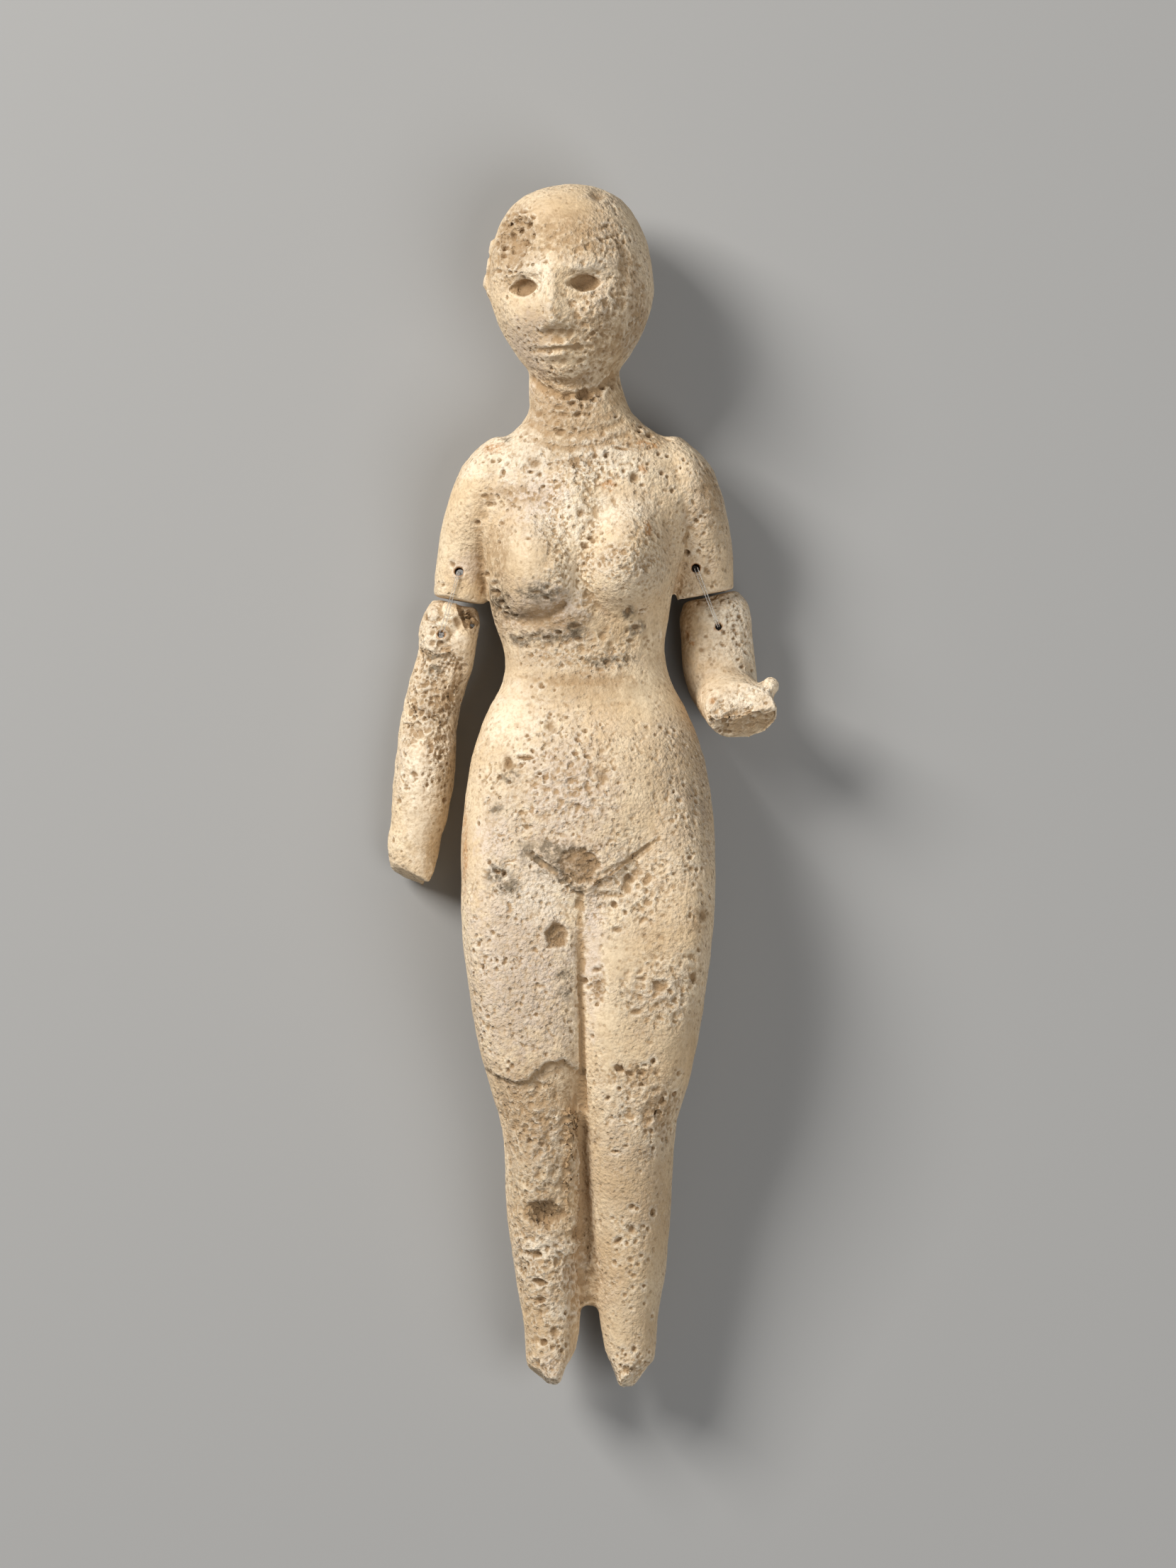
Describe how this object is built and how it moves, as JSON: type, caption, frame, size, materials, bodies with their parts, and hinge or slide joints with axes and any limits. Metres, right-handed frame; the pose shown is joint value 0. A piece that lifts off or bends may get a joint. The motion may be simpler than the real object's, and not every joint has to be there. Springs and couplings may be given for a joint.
{
  "type": "female stone figurine",
  "caption": "Broken ancient alabaster figurine of a standing nude woman with her lower arms tied on by thread, lying on its back.",
  "frame": {"origin": "middle of the outer box across and lengthwise, on the plane that the figurine lies on", "axes": "+X towards the woman's left, +Y from her feet to her crown, +Z out of her chest"},
  "size_m": [0.0868, 0.265, 0.0398],
  "materials": {
    "stone": "weathered, rough alabaster with smooth worn patches",
    "thread": "clear nylon"
  },
  "bodies": {
    "root": {"figure": "stone", "right_arm": "stone", "left_arm": "stone", "right_arm_thread": "thread", "left_arm_thread": "thread"}
  },
  "joints": []
}
